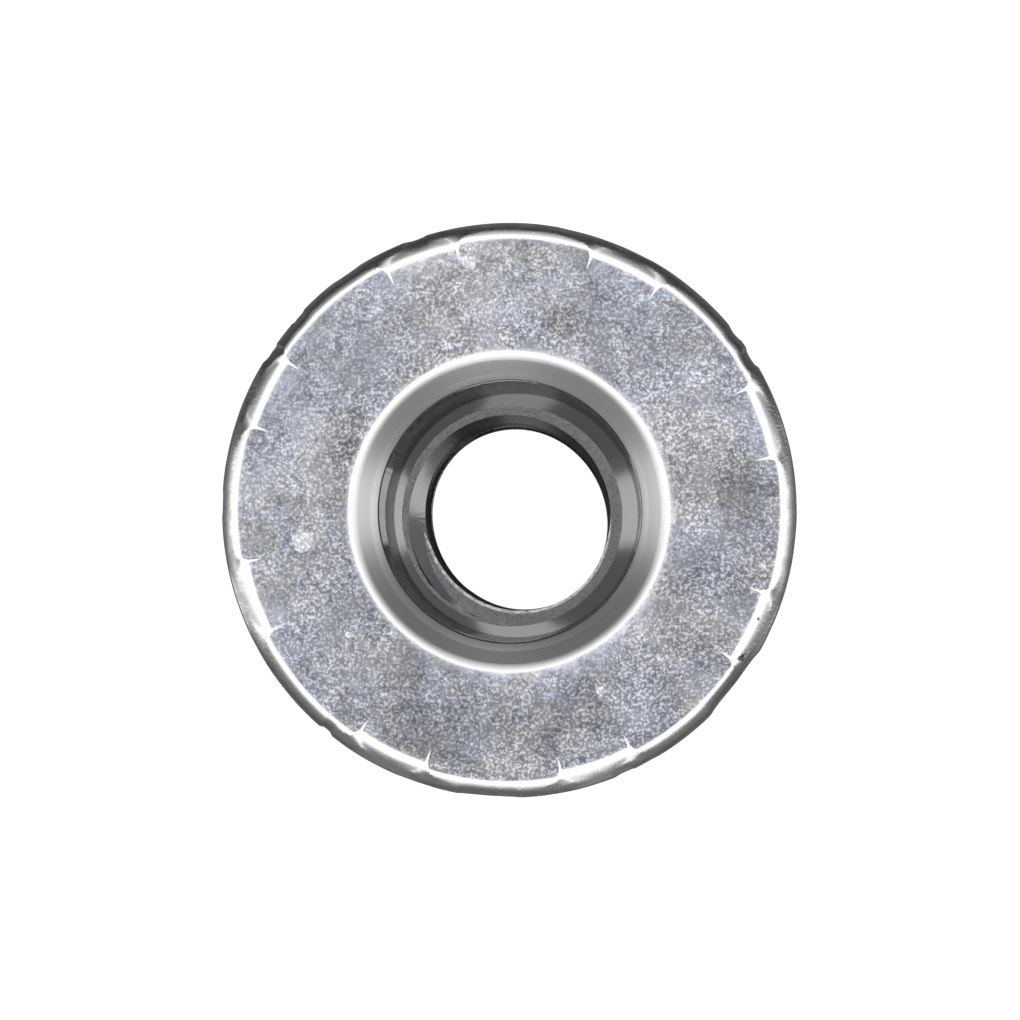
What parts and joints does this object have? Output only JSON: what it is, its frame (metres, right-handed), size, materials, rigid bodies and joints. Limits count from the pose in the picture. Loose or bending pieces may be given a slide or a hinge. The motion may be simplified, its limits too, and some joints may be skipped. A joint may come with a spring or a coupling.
{
  "type": "expansion nut",
  "caption": "Round blind nut in one piece: a wide flat flange with pressed rim recesses on a thin tubular shank, with a plain bore above an internal thread.",
  "frame": {"origin": "centre of the open end of the shank, which the nut stands on", "axes": "+Z along the nut's axis, from the open end of the shank to the flange's face, and +X towards a stretch of rim between two recesses"},
  "size_m": [0.015, 0.015, 0.0155],
  "materials": {
    "zinc_plated_steel": "bright blue-white zinc plate over cold-formed steel, with a fine matt grain on the flange's face and smoother in the bore"
  },
  "bodies": {
    "root": {"nut": "zinc_plated_steel"}
  },
  "joints": []
}
